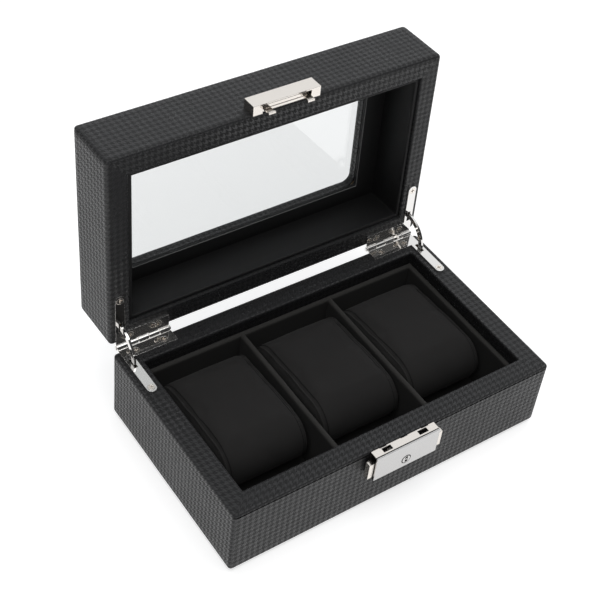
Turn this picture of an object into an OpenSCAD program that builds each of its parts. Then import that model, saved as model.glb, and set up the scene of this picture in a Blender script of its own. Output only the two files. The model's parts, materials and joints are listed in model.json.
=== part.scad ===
/*
  Watch box for three watches. A low base with a velvet tray of three compartments, each with a
  cushion, and a glazed lid on two quadrant hinges with curved stays. A box lock on the front
  takes two hooks on the lid and is opened by two side buttons.

  Millimetres. +X is the right side, -Y the front, +Z up. The origin is the middle of the
  underside. The lid is drawn closed and then turned back by lid_angle.
*/

/* [Box] */
// Outside width of the box
box_w = 200; // [190:1:210]
// Outside depth of the box, without the lock
box_d = 120; // [116:1:126]
// Height of the base, up to its rim
base_h = 45; // [42:0.5:50]
// Height of the lid
lid_h = 34.5; // [33:0.5:40]
// Gap between the two rims when the box is closed
rim_gap = 1.6; // [1.4:0.1:2]
// Thickness of a finished wall, leather included
wall = 12; // [12:0.5:13]
// Angle by which the lid stands open
lid_angle = 92; // [90:1:95]

/* [Leather] */
// Thickness of the leather covering
leather_t = 0.8; // [0.6:0.1:1]
// Radius of the upright corners
corner_r = 2.2; // [1.6:0.1:3]
// Radius along the bottom of the base and the top of the lid
edge_r = 3.6; // [2:0.1:4]
// Width of leather turned in under the base
turn_in = 8; // [5:1:12]

/* [Tray] */
// Thickness of the tray's walls and dividers
lining_t = 3; // [2.5:0.5:3.5]
// Depth of the tray's top edge below the rim
tray_drop = 7.5; // [6:0.5:9]
// Thickness of the tray's floor
tray_floor = 1; // [0.8:0.1:1.5]
// Thickness of the board at the bottom of the base
floor_t = 3; // [2.5:0.5:4]

/* [Cushions] */
// Width of a cushion, across the box
cushion_w = 51; // [48:0.5:53]
// Length of a cushion, from front to back
cushion_l = 74; // [66:1:80]
// Height of a cushion's round front end
cushion_h = 33.4; // [30:0.2:34]
// Height of a cushion's round back end
cushion_back_h = 31.6; // [24:0.2:33]
// Thickness of a cushion's cover
cushion_cover_t = 1.2; // [0.8:0.1:1.5]

/* [Window] */
// Width of the window
window_w = 147; // [130:1:150]
// Depth of the window
window_d = 74.4; // [60:0.2:76]
// Radius of the window's corners
window_r = 5; // [2:0.5:8]
// Thickness of the glass
glass_t = 2; // [1.5:0.1:2.5]
// Thickness of the lid's top board with its leather
panel_t = 5.1; // [4.5:0.1:6]
// Thickness of the mat around the window
mat_t = 2.5; // [2:0.1:3]
// Thickness of the lid's side lining
lid_lining_t = 2.2; // [1.5:0.1:2.5]

/* [Hinges] */
// Distance of the hinge axis behind the box
hinge_setback = 2.2; // [2.1:0.05:2.6]
// Thickness of a hinge leaf
leaf_t = 1; // [0.8:0.1:1]
// Length of the leaf along the back
leaf_back = 31.5; // [28:0.5:36]
// Length of the leaf along the side, measured from the back
leaf_side = 33; // [30:0.5:36]
// Outer radius of the knuckles
knuckle_r = 1.6; // [1.5:0.05:1.7]
// Radius of the hinge pin
pin_r = 0.75; // [0.6:0.05:0.9]
// Mean radius of the curved stay
stay_r = 14; // [13:0.5:15]
// Width of the curved stay
stay_w = 3; // [2.5:0.1:3.2]

/* [Lock] */
// Width of the lock and of the catch
lock_w = 40; // [38:1:44]
// Height of the lock
lock_h = 16.8; // [16:0.2:18]
// Depth of the lock and of the catch in front of the box
lock_d = 5.8; // [5.6:0.1:6.2]
// Height of the catch on the lid
catch_h = 8.6; // [8:0.1:10]
// Travel of a side button
button_travel = 2.5; // [2:0.1:2.5]
// Radius of the key cylinder
cylinder_r = 2.8; // [2.4:0.1:2.8]

/* [Hidden] */

$fn = 48;
// Overlap that lets a cut pass through a face
cut = 1;
// Steps in a quarter of a rounded edge
arc_steps = 6;
LEFT = -1;
RIGHT = 1;

// Box
rim_z = base_h + rim_gap;
top_z = rim_z + lid_h;
inner_w = box_w - 2 * wall;
inner_d = box_d - 2 * wall;
board_w = box_w - 2 * leather_t;
board_d = box_d - 2 * leather_t;
board_inner_w = inner_w + 2 * leather_t;
board_inner_d = inner_d + 2 * leather_t;
inner_r = 0.6;
lip_depth = 20;
lid_lip_depth = 3.4;

// Tray
tray_z = leather_t + floor_t;
tray_top = base_h - tray_drop;
tray_in_w = inner_w - 2 * lining_t;
tray_in_d = inner_d - 2 * lining_t;
slot_w = (tray_in_w - 2 * lining_t) / 3;
slot_pitch = slot_w + lining_t;

// Cushions
cushion_clear = 0.3;
cushion_z = tray_z + tray_floor + cushion_clear;
cushion_back_y = tray_in_d / 2 - cushion_clear;
cushion_front_r = cushion_h / 2;
cushion_back_r = cushion_back_h / 2;
cushion_crown = 0.8;
// Sideways offset of each loose cushion from the middle of its compartment
cushion_shift = [0, 1.2, 0];

// Window
panel_z = top_z - panel_t;
glass_z = panel_z - glass_t;
mat_z = glass_z - mat_t;
glass_lap = 6;
mat_lap = 0.5;
lid_lining_drop = 1.5;

// Hinges
hinge_y = box_d / 2 + hinge_setback;
hinge_z = base_h + rim_gap / 2;
leaf_face_gap = 0.4;
leaf_z = hinge_z - leaf_face_gap / 2 - leaf_t;
leaf_outer_x = box_w / 2 - 3.2;
leaf_side_w = 5.4;
leaf_back_w = 7;
leaf_edge_y = box_d / 2 + 0.2;
leg_x = leaf_outer_x - leaf_side_w / 2;
leg_end_y = box_d / 2 - leaf_side + leaf_side_w / 2;
knuckles = 5;
knuckle_pitch = leaf_back / knuckles;
knuckle_gap = 0.5;
pin_clear = 0.05;
stay_t = 1.2;
stay_head_t = 3.2;
stay_head_w = stay_w + 0.5;
stay_head_gap = 7.5;
stay_head_sweep = 4;
stay_slot_w = 2;
stay_slot_l = 6.4;
pocket_w = 4;
pocket_depth = 14.3;
pocket_y = hinge_y - stay_r - stay_w / 2 - 1.7;
pocket_l = 11.6;
screw_head_r = 2;
screw_shank_r = 0.9;
screw_l = 9;
screw_clear = 0.05;
hinge_screw_places = [
    [leaf_outer_x - 8.4, box_d / 2 - 3.6],
    [leaf_outer_x - 25, box_d / 2 - 3.6],
    [leg_x, leg_end_y + 0.4]
];

// Lock and catch
plate_t = 0.8;
lock_top = base_h - 0.2;
lock_z = lock_top - lock_h;
face_y = -box_d / 2;
lock_y = face_y - lock_d;
lock_in_y = lock_y + plate_t;
lock_back_y = face_y - plate_t;
lock_slot_x = 11.4;
lock_slot_w = 5.6;
lock_slot_y = face_y - 3.5;
lock_slot_d = 2.6;
lock_seam = 0.5;
hook_w = 4;
hook_t = 1.2;
hook_x = 9.6;
hook_y = lock_slot_y + (lock_slot_d - hook_t) / 2;
hook_tip_z = base_h - 4;
hook_barb = 1;
bridge_h = 5.2;
shelf_x = 12.6;
shelf_t = 0.9;
shelf_gap = 0.5;
shelf_groove_w = 0.35;
shelf_grooves = [face_y - 4.1, face_y - 1.9];
catch_z = lock_top + 0.6;
catch_lip = 5.5;
cylinder_z = lock_z + 5.3;
cylinder_clear = 0.15;
keyway_h = 3.8;
keyway_w = 1.2;
keyway_post_r = 0.55;
housing_r = cylinder_r + 0.7;
housing_l = 3;
button_h = 10.6;
button_z = lock_z + 2;
button_y = lock_in_y + 0.4;
button_t = 3.2;
button_in = 2;
button_out = 3.3;
spring_z = lock_z + 4.8;
spring_y = (lock_in_y + lock_back_y) / 2;
spring_r = 1.15;
spring_wire = 0.3;
spring_turns = 5;
spring_tab_x = 6;
spring_in = spring_tab_x;
spring_out = lock_w / 2 - button_in;
pawl_z = lock_z + 8.4;
pawl_h = 2.4;
pawl_t = 1.4;
pawl_y = lock_back_y - 0.5 - pawl_t;
pawl_in = 7;
nose_top = base_h - 2;
nose_w = 1.6;
tooth_w = 0.7;
tooth_h = 0.9;
cam_l = 4;
cam_w = 2.2;
cam_t = 0.7;

// ---------------------------------------------------------------- helpers

// Quarter circle of radius r about [x, y], starting at angle a
function quarter(x, y, r, a) =
    [for (i = [0 : arc_steps]) [x + r * cos(a + 90 * i / arc_steps),
                                y + r * sin(a + 90 * i / arc_steps)]];

// Rectangle from [x0, y0] to [x1, y1], with lower corners of radius low and upper ones of high
function rounded(x0, y0, x1, y1, low, high) = concat(
    quarter(x1 - high, y1 - high, high, 0),
    quarter(x0 + high, y1 - high, high, 90),
    quarter(x0 + low, y0 + low, low, 180),
    quarter(x1 - low, y0 + low, low, 270));

// Upright block, w by d about the Z axis, from z0 to z1
module block(w, d, z0, z1, r) {
    translate([0, 0, z0])
        linear_extrude(z1 - z0)
            polygon(rounded(-w / 2, -d / 2, w / 2, d / 2, r, r));
}

// Block whose lower and upper edges are rounded too
module soft_block(w, d, z0, z1, r, low, high) {
    intersection() {
        block(w, d, z0, z1, r);
        rotate([90, 0, 0])
            linear_extrude(d + cut, center = true)
                polygon(rounded(-w / 2, z0, w / 2, z1, low, high));
        rotate([90, 0, 90])
            linear_extrude(w + cut, center = true)
                polygon(rounded(-d / 2, z0, d / 2, z1, low, high));
    }
}

// Upright ring between two rectangles
module ring(w, d, inside_w, inside_d, z0, z1) {
    difference() {
        block(w, d, z0, z1, inner_r);
        block(inside_w, inside_d, z0 - cut, z1 + cut, inner_r);
    }
}

// Cube between two corners
module between(low, high) {
    translate(low)
        cube(high - low);
}

// Turns what is drawn closed into the open position
module opened() {
    translate([0, hinge_y, hinge_z])
        rotate([-lid_angle, 0, 0])
            translate([0, -hinge_y, -hinge_z])
                children();
}

// Mirrors what is drawn on the right side when the side is LEFT
module on_side(side) {
    mirror([side == LEFT ? 1 : 0, 0, 0])
        children();
}

// Mirrors what is drawn below the hinge axis to above it
module above_hinge() {
    translate([0, 0, 2 * hinge_z])
        mirror([0, 0, 1])
            children();
}

// Countersunk cross-head screw, its head flush at z = 0 and its tip below
module screw(length) {
    tip = 2 * screw_shank_r;
    difference() {
        union() {
            translate([0, 0, -leaf_t])
                cylinder(h = leaf_t, r1 = screw_shank_r, r2 = screw_head_r);
            translate([0, 0, -length + tip])
                cylinder(h = length - tip, r = screw_shank_r);
            translate([0, 0, -length])
                cylinder(h = tip, r1 = 0.1, r2 = screw_shank_r);
        }
        for (a = [0, 90])
            rotate([0, 0, a])
                translate([-1.2, -0.25, -0.5])
                    cube([2.4, 0.5, cut]);
    }
}

// Hole for that screw
module screw_hole(length) {
    translate([0, 0, -length - screw_clear])
        cylinder(h = length + cut, r = screw_shank_r + screw_clear);
    translate([0, 0, -leaf_t])
        cylinder(h = leaf_t, r1 = screw_shank_r + screw_clear, r2 = screw_head_r + screw_clear);
    cylinder(h = cut, r = screw_head_r + screw_clear);
}

// ---------------------------------------------------------------- hinges

// Plan of a right-hand leaf
module leaf_plan() {
    translate([leaf_outer_x - leaf_back, box_d / 2 - leaf_back_w])
        square([leaf_back, leaf_back_w + leaf_edge_y - box_d / 2]);
    translate([leg_x - leaf_side_w / 2, leg_end_y])
        square([leaf_side_w, leaf_edge_y - leg_end_y]);
    translate([leg_x, leg_end_y])
        circle(r = leaf_side_w / 2);
}

// Right-hand leaf below the hinge axis, with the knuckles from first on, every second one
module hinge_leaf(first) {
    difference() {
        union() {
            translate([0, 0, leaf_z])
                linear_extrude(leaf_t)
                    leaf_plan();
            for (k = [first : 2 : knuckles - 1])
                translate([leaf_outer_x - (k + 1) * knuckle_pitch + knuckle_gap / 2, 0, 0])
                    knuckle(knuckle_pitch - knuckle_gap);
        }
        translate([leg_x - stay_slot_w / 2, pocket_y + 0.6, leaf_z - cut])
            cube([stay_slot_w, stay_slot_l, leaf_t + 2 * cut]);
        for (p = hinge_screw_places)
            translate([p.x, p.y, leaf_z + leaf_t])
                screw_hole(leaf_t + cut);
        translate([leaf_outer_x - leaf_back - cut, hinge_y, hinge_z])
            rotate([0, 90, 0])
                cylinder(h = leaf_back + 2 * cut, r = pin_r + pin_clear);
    }
}

// Rolled knuckle with the strip that joins it to the leaf
module knuckle(length) {
    translate([0, hinge_y, hinge_z])
        rotate([0, 90, 0])
            cylinder(h = length, r = knuckle_r);
    translate([0, leaf_edge_y - cut, leaf_z])
        cube([length, hinge_y - leaf_edge_y + cut, leaf_t]);
}

// Hinge pin with a domed head at each end
module hinge_pin() {
    translate([leaf_outer_x - leaf_back, hinge_y, hinge_z])
        rotate([0, 90, 0])
            cylinder(h = leaf_back, r = pin_r);
    for (x = [leaf_outer_x - leaf_back - 0.6, leaf_outer_x + 0.1])
        translate([x, hinge_y, hinge_z])
            rotate([0, 90, 0])
                cylinder(h = 0.5, r = pin_r + 0.3);
    translate([leaf_outer_x - cut, hinge_y, hinge_z])
        rotate([0, 90, 0])
            cylinder(h = cut + 0.2, r = pin_r);
    translate([leaf_outer_x - leaf_back - 0.2, hinge_y, hinge_z])
        rotate([0, 90, 0])
            cylinder(h = cut, r = pin_r);
}

// Piece of a ring about the hinge axis, from angle a0 to a1 up from the front
module hinge_arc(a0, a1, width, thickness) {
    translate([leg_x, hinge_y, hinge_z])
        rotate([90, 0, -90])
            rotate([0, 0, a0])
                rotate_extrude(angle = a1 - a0)
                    translate([stay_r - width / 2, -thickness / 2])
                        square([width, thickness]);
}

// Curved stay, with a wider head at each end that stops behind the leaves
module stay() {
    low = -stay_head_gap - stay_head_sweep;
    high = lid_angle + stay_head_gap + stay_head_sweep;
    hinge_arc(low + stay_head_sweep / 2, high - stay_head_sweep / 2, stay_w, stay_t);
    hinge_arc(low, low + stay_head_sweep, stay_head_w, stay_head_t);
    hinge_arc(high - stay_head_sweep, high, stay_head_w, stay_head_t);
}

// What the hinges take out of the rim and wall under them
module hinge_cuts() {
    for (side = [LEFT, RIGHT])
        on_side(side) {
            translate([0, 0, leaf_z])
                linear_extrude(leaf_t + cut)
                    leaf_plan();
            translate([leg_x - pocket_w / 2, pocket_y, hinge_z - pocket_depth])
                cube([pocket_w, pocket_l, pocket_depth]);
            for (p = hinge_screw_places)
                translate([p.x, p.y, leaf_z + leaf_t])
                    screw_hole(screw_l);
        }
}

module hinge_screws() {
    for (side = [LEFT, RIGHT])
        on_side(side)
            for (p = hinge_screw_places)
                translate([p.x, p.y, leaf_z + leaf_t])
                    screw(screw_l);
}

// ---------------------------------------------------------------- base

// Screws that hold the lock, with the place of each head's face
module lock_screw_places() {
    for (x = [-9, 9])
        translate([x, lock_back_y, cylinder_z + 6.6])
            rotate([90, 0, 0])
                children();
}

module base_frame() {
    color("#7d6248")
        difference() {
            soft_block(board_w, board_d, leather_t, base_h - leather_t,
                       corner_r - leather_t, edge_r - leather_t, inner_r);
            block(board_inner_w, board_inner_d, -cut, base_h + cut, inner_r);
            hinge_cuts();
            lock_screw_places()
                screw_hole(screw_l);
        }
}

module base_floor() {
    color("#8a6e52")
        block(board_inner_w, board_inner_d, leather_t, tray_z, inner_r);
}

module base_cover() {
    color("#33343a")
        difference() {
            union() {
                difference() {
                    soft_block(box_w, box_d, 0, base_h, corner_r, edge_r, inner_r);
                    soft_block(board_w, board_d, leather_t, base_h - leather_t,
                               corner_r - leather_t, edge_r - leather_t, inner_r);
                    block(inner_w, inner_d, base_h / 2, base_h + cut, inner_r);
                    block(box_w - 2 * turn_in, box_d - 2 * turn_in, -cut, base_h / 2, inner_r);
                }
                ring(board_inner_w, board_inner_d, inner_w, inner_d,
                     base_h - lip_depth, base_h - leather_t);
            }
            hinge_cuts();
            lock_screw_places()
                screw_hole(screw_l);
        }
}

module underside_felt() {
    color("#1d1d1f")
        block(box_w - 2 * turn_in, box_d - 2 * turn_in, 0, leather_t, inner_r);
}

module tray_lining() {
    color("#2b2b2c")
        difference() {
            block(inner_w, inner_d, tray_z, tray_top, inner_r);
            block(tray_in_w, tray_in_d, tray_z + tray_floor, tray_top + cut, inner_r);
        }
}

module divider(side) {
    color("#2f2f30")
        translate([side * slot_pitch / 2 - lining_t / 2, -tray_in_d / 2, tray_z + tray_floor])
            cube([lining_t, tray_in_d, tray_top - tray_z - tray_floor]);
}

// ---------------------------------------------------------------- cushions

// Side outline of a cushion, inset by t: a large round front, a smaller round back and a
// slightly crowned top between them
module cushion_outline(t) {
    front = [cushion_back_y - cushion_l + cushion_front_r, cushion_z + cushion_front_r];
    back = [cushion_back_y - cushion_back_r, cushion_z + cushion_back_r];
    steps = 4 * arc_steps;
    fr = cushion_front_r - t;
    br = cushion_back_r - t;
    crown = [for (i = [1 : steps - 1])
        let (u = i / steps)
            [back.x + u * (front.x - back.x),
             back.y + br + u * (front.y + fr - back.y - br) + cushion_crown * sin(180 * u)]];
    polygon(concat(
        [for (i = [0 : steps]) [back.x + br * cos(-90 + 180 * i / steps),
                                back.y + br * sin(-90 + 180 * i / steps)]],
        crown,
        [for (i = [0 : steps]) [front.x + fr * cos(90 + 180 * i / steps),
                                front.y + fr * sin(90 + 180 * i / steps)]]));
}

// Cushion body of compartment n, inset by t on every side
module cushion_body(n, t) {
    translate([n * slot_pitch + cushion_shift[n + 1] - cushion_w / 2 + t, 0, 0])
        rotate([90, 0, 90])
            linear_extrude(cushion_w - 2 * t)
                cushion_outline(t);
}

module cushion_cover(n) {
    color("#222224")
        difference() {
            cushion_body(n, 0);
            cushion_body(n, cushion_cover_t);
        }
}

module cushion_foam(n) {
    color("#55565a")
        cushion_body(n, cushion_cover_t);
}

// ---------------------------------------------------------------- lid

module lid_frame() {
    color("#7d6248")
        opened()
            difference() {
                soft_block(board_w, board_d, rim_z + leather_t, top_z - leather_t,
                           corner_r - leather_t, inner_r, edge_r - leather_t);
                block(board_inner_w, board_inner_d, rim_z - cut, top_z + cut, inner_r);
                above_hinge()
                    hinge_cuts();
                catch_screw_places()
                    screw_hole(screw_l);
            }
}

module lid_panel() {
    color("#8a6e52")
        opened()
            difference() {
                block(board_inner_w, board_inner_d, panel_z, top_z - leather_t, inner_r);
                block(window_w + 2 * leather_t, window_d + 2 * leather_t,
                      panel_z - cut, top_z + cut, window_r + leather_t);
            }
}

module lid_cover() {
    color("#33343a")
        opened()
            difference() {
                union() {
                    difference() {
                        soft_block(box_w, box_d, rim_z, top_z, corner_r, inner_r, edge_r);
                        soft_block(board_w, board_d, rim_z + leather_t, top_z - leather_t,
                                   corner_r - leather_t, inner_r, edge_r - leather_t);
                        block(inner_w, inner_d, rim_z - cut, top_z - lid_h / 2, inner_r);
                    }
                    ring(board_inner_w, board_inner_d, inner_w, inner_d,
                         rim_z + leather_t, rim_z + lid_lip_depth);
                    block(window_w + 2 * leather_t, window_d + 2 * leather_t,
                          panel_z, top_z - leather_t / 2, window_r + leather_t);
                }
                block(window_w, window_d, panel_z - cut, top_z + cut, window_r);
                above_hinge()
                    hinge_cuts();
                catch_screw_places()
                    screw_hole(screw_l);
            }
}

module window_glass() {
    color("#dfe6e6", 0.35)
        opened()
            block(window_w + 2 * glass_lap, window_d + 2 * glass_lap, glass_z, panel_z, inner_r);
}

module lid_lining() {
    color("#1c1c1d")
        opened()
            ring(inner_w, inner_d, inner_w - 2 * lid_lining_t, inner_d - 2 * lid_lining_t,
                 rim_z + lid_lining_drop, panel_z);
}

module window_mat() {
    color("#1c1c1d")
        opened()
            ring(inner_w - 2 * lid_lining_t, inner_d - 2 * lid_lining_t,
                 window_w - 2 * mat_lap, window_d - 4 * mat_lap, mat_z, glass_z);
}

// ---------------------------------------------------------------- catch on the lid

module catch_screw_places() {
    for (x = [-4, 4])
        translate([x, face_y - hook_t, rim_z + 2.8])
            rotate([90, 0, 0])
                children();
}

module catch_cover() {
    color("#cfc9c4")
        opened() {
            between([-lock_w / 2, lock_y, catch_z], [lock_w / 2, lock_in_y, catch_z + catch_h]);
            between([-lock_w / 2, lock_y, catch_z + catch_h - plate_t],
                    [lock_w / 2, face_y, catch_z + catch_h]);
            for (side = [LEFT, RIGHT])
                on_side(side) {
                    between([lock_w / 2 - plate_t, lock_y, catch_z],
                            [lock_w / 2, face_y, catch_z + catch_h]);
                    between([lock_w / 2 - catch_lip, lock_y, catch_z],
                            [lock_w / 2, face_y, catch_z + plate_t]);
                }
        }
}

// Hook plate on the lid's front wall, bent forward into a grooved bridge, with a hook at each end
// that dips into the lock
module catch_hooks() {
    hook_out = hook_x + hook_w;
    color("#cfc9c4")
        opened()
            difference() {
                union() {
                    between([-hook_out, face_y - hook_t, rim_z + 0.2],
                            [hook_out, face_y, rim_z + 0.2 + bridge_h]);
                    between([-shelf_x, lock_in_y + shelf_gap, rim_z + 0.2],
                            [shelf_x, face_y, rim_z + 0.2 + shelf_t]);
                    for (side = [LEFT, RIGHT])
                        on_side(side) {
                            between([hook_x + 0.4, hook_y, rim_z + 0.2],
                                    [hook_out, face_y, rim_z + 0.2 + hook_t]);
                            between([hook_x + 0.4, hook_y, hook_tip_z],
                                    [hook_out, hook_y + hook_t, rim_z + hook_t]);
                            between([hook_x, hook_y, hook_tip_z],
                                    [hook_out, hook_y + hook_t, hook_tip_z + hook_barb]);
                        }
                }
                catch_screw_places()
                    screw_hole(hook_t + cut);
                for (y = shelf_grooves)
                    between([-shelf_x - cut, y, rim_z + 0.2 - cut],
                            [shelf_x + cut, y + shelf_groove_w, rim_z + 0.2 + shelf_groove_w]);
            }
}

module catch_screws() {
    color("#b9b4ae")
        opened()
            catch_screw_places()
                screw(screw_l);
}

// ---------------------------------------------------------------- lock on the base

// Folded case: back, top with two slots, bottom and two tabs that the springs push on
module lock_case() {
    notches = 3;
    color("#cfc9c4")
        difference() {
            union() {
                between([-lock_w / 2, lock_back_y, lock_z], [lock_w / 2, face_y, lock_top]);
                between([-lock_w / 2, lock_in_y + lock_seam, lock_top - plate_t],
                        [lock_w / 2, face_y, lock_top]);
                between([-lock_w / 2, lock_in_y, lock_z], [lock_w / 2, face_y, lock_z + plate_t]);
                for (side = [LEFT, RIGHT])
                    on_side(side)
                        between([spring_tab_x - plate_t, lock_in_y + 0.4, lock_z],
                                [spring_tab_x, face_y, spring_z + 2]);
            }
            for (side = [LEFT, RIGHT])
                on_side(side)
                    translate([lock_slot_x - lock_slot_w / 2, lock_slot_y, lock_top - plate_t - cut])
                        cube([lock_slot_w, lock_slot_d, plate_t + 2 * cut]);
            for (i = [0 : notches - 1])
                translate([(i - 1) * lock_w / notches - 1.5, face_y - 0.4, lock_top - plate_t - cut])
                    cube([lock_w / notches / 3, cut, plate_t + 2 * cut]);
            lock_screw_places()
                screw_hole(plate_t + cut);
        }
}

// Front plate with the housing of the key cylinder
module lock_front() {
    color("#d6d0ca")
        difference() {
            union() {
                between([-lock_w / 2, lock_y, lock_z], [lock_w / 2, lock_in_y, lock_top]);
                translate([0, lock_y + plate_t / 2, cylinder_z])
                    rotate([-90, 0, 0])
                        cylinder(h = housing_l + plate_t / 2, r = housing_r);
            }
            translate([0, lock_y - cut, cylinder_z])
                rotate([-90, 0, 0])
                    cylinder(h = housing_l + plate_t + 2 * cut, r = cylinder_r + cylinder_clear);
        }
}

module lock_screws() {
    color("#b9b4ae")
        lock_screw_places()
            screw(screw_l);
}

// Side button: a block that stands out of the case's open end
module button() {
    color("#cfc9c4")
        between([lock_w / 2 - button_in, button_y, button_z],
                [lock_w / 2 + button_out, button_y + button_t, button_z + button_h]);
}

// Pawl: a bar under the hook, with a nose that stands up beside it
module pawl() {
    color("#a9a6a2") {
        between([pawl_in, pawl_y, pawl_z], [lock_w / 2 - button_in, pawl_y + pawl_t, pawl_z + pawl_h]);
        between([pawl_in, pawl_y, pawl_z], [pawl_in + nose_w, pawl_y + pawl_t, nose_top]);
        between([pawl_in, pawl_y, nose_top - tooth_h],
                [pawl_in + nose_w + tooth_w, pawl_y + pawl_t, nose_top]);
    }
}

// Point of the spring's wire surface: s along the coil in steps, j round the wire
function coil_point(s, j, turn_steps, sides) =
    let (a = 360 * s / turn_steps, b = 360 * j / sides,
         r = spring_r + spring_wire * cos(b),
         length = spring_out - spring_in - 2 * spring_wire,
         x = spring_in + spring_wire + length * s / (turn_steps * spring_turns))
        [x + spring_wire * sin(b), spring_y + r * cos(a), spring_z + r * sin(a)];

// Coil spring between the case's tab and the button
module spring() {
    turn_steps = 14;
    sides = 6;
    rings = turn_steps * spring_turns;
    points = [for (s = [0 : rings]) for (j = [0 : sides - 1]) coil_point(s, j, turn_steps, sides)];
    walls = [for (s = [0 : rings - 1]) for (j = [0 : sides - 1])
        let (a = s * sides + j, b = s * sides + (j + 1) % sides)
            each [[a, b, b + sides], [a, b + sides, a + sides]]];
    first = [for (j = [sides - 1 : -1 : 0]) j];
    last = [for (j = [0 : sides - 1]) rings * sides + j];
    color("#9b9b9b")
        polyhedron(points, concat([first], walls, [last]));
}

// Key cylinder: its keyway runs past a post in the middle
module key_cylinder() {
    color("#bdb7ae")
        translate([0, lock_y - 0.1, cylinder_z])
            rotate([-90, 0, 0])
                difference() {
                    cylinder(h = plate_t + housing_l + 0.3, r = cylinder_r);
                    translate([0, 0, -cut])
                        linear_extrude(2 * cut + 1)
                            difference() {
                                square([keyway_w, keyway_h], center = true);
                                circle(r = keyway_post_r);
                            }
                }
}

module key_cam() {
    color("#8f8f8f")
        translate([0, lock_y + plate_t + housing_l + 0.2, cylinder_z])
            rotate([-90, 0, 0])
                linear_extrude(cam_t) {
                    square([cam_w, 2 * cam_l - cam_w], center = true);
                    for (y = [-1, 1])
                        translate([0, y * (cam_l - cam_w / 2)])
                            circle(r = cam_w / 2);
                }
}

// ---------------------------------------------------------------- nodes

base_frame();
base_floor();
base_cover();
underside_felt();
tray_lining();
divider(LEFT);  // divider_left
divider(RIGHT);  // divider_right
cushion_cover(-1);  // cushion_left_cover
cushion_cover(0);  // cushion_middle_cover
cushion_cover(1);  // cushion_right_cover
cushion_foam(-1);  // cushion_left_foam
cushion_foam(0);  // cushion_middle_foam
cushion_foam(1);  // cushion_right_foam
lid_frame();
lid_panel();
lid_cover();
window_glass();
lid_lining();
window_mat();
catch_cover();
catch_hooks();
catch_screws();
lock_case();
lock_front();
lock_screws();
on_side(LEFT) button();  // button_left
button();  // button_right
on_side(LEFT) pawl();  // pawl_left
pawl();  // pawl_right
on_side(LEFT) spring();  // spring_left
spring();  // spring_right
key_cylinder();
key_cam();
color("#c9c6c2") on_side(LEFT) hinge_leaf(0);  // hinge_left_base_leaf
color("#c9c6c2") hinge_leaf(0);  // hinge_right_base_leaf
color("#c9c6c2") opened() above_hinge() on_side(LEFT) hinge_leaf(1);  // hinge_left_lid_leaf
color("#c9c6c2") opened() above_hinge() hinge_leaf(1);  // hinge_right_lid_leaf
color("#aaa7a3") on_side(LEFT) hinge_pin();  // hinge_left_pin
color("#aaa7a3") hinge_pin();  // hinge_right_pin
color("#d2cfcb") on_side(LEFT) stay();  // stay_left
color("#d2cfcb") stay();  // stay_right
color("#b9b4ae") hinge_screws();  // hinge_screws_base
color("#b9b4ae") opened() above_hinge() hinge_screws();  // hinge_screws_lid
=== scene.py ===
"""Looks of a watch box: embossed leather over the base and the lid, a velvet tray with three
padded cushions, a glazed lid, quadrant hinges with curved stays, and a box lock.

Lengths here are in millimetres, and mesh_object() turns them into metres. The frame has the lid
open; the lid's own pieces are drawn closed and then turned open with lid_open.
"""

import json
import math

import bmesh
import bpy
import numpy as np
from mathutils import Matrix, Vector, noise
from mathutils.bvhtree import BVHTree


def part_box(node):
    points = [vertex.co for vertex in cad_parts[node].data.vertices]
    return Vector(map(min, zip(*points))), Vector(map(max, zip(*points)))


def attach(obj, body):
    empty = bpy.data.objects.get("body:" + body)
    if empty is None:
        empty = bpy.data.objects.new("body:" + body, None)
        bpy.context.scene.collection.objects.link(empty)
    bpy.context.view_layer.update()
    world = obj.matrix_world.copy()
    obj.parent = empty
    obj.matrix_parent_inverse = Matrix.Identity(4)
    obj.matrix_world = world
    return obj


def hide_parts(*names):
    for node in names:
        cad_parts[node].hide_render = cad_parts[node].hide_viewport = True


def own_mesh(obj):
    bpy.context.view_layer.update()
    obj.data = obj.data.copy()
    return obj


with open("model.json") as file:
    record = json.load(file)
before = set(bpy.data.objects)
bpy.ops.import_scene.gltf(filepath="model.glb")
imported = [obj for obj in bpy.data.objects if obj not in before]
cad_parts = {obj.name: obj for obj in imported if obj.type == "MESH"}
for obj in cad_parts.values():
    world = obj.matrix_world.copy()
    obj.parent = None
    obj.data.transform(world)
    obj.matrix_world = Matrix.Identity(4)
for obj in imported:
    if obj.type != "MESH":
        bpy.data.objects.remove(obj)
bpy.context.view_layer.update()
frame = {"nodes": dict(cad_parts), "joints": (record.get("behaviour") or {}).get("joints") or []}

METRES = 0.001


# ------------------------------------------------------------------ places from the frame

def node_box(node):
    """Lowest and highest corner of a CAD node at rest, in millimetres."""
    low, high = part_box(node)
    return low / METRES, high / METRES


def closed_box(node):
    """The same for a node of the lid, with the lid closed."""
    points = [lid_open.inverted() @ (v.co / METRES) for v in frame["nodes"][node].data.vertices]
    low = Vector([min(p[i] for p in points) for i in range(3)])
    high = Vector([max(p[i] for p in points) for i in range(3)])
    return low, high


def turn_about(joint, degrees):
    """Turns millimetre coordinates about a hinge joint by that angle."""
    centre = Matrix.Translation(Vector(joint["pos_m"]) / METRES)
    return centre @ Matrix.Rotation(math.radians(degrees), 4, Vector(joint["axis"])) @ centre.inverted()


joints = {j["name"]: j for j in frame["joints"]}
lid_joint = joints["lid_hinge"]
lid_open = turn_about(lid_joint, -lid_joint["range_deg"][0])
hinge_z = lid_joint["pos_m"][2] / METRES

base_low, base_high = node_box("base_cover")
tray_low, tray_high = node_box("tray_lining")
lid_low, lid_high = closed_box("lid_cover")
glass_high = closed_box("window_glass")[1]
lining_low, lining_high = closed_box("lid_lining")
mat_low, mat_high = closed_box("window_mat")

HALF_W = base_high.x
HALF_D = base_high.y
RIM = base_high.z
WALL = HALF_W - tray_high.x
LEATHER = 0.8
CORNER = 2.2
SOFT_EDGE = 3.6
SHARPEST = 0.6


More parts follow.
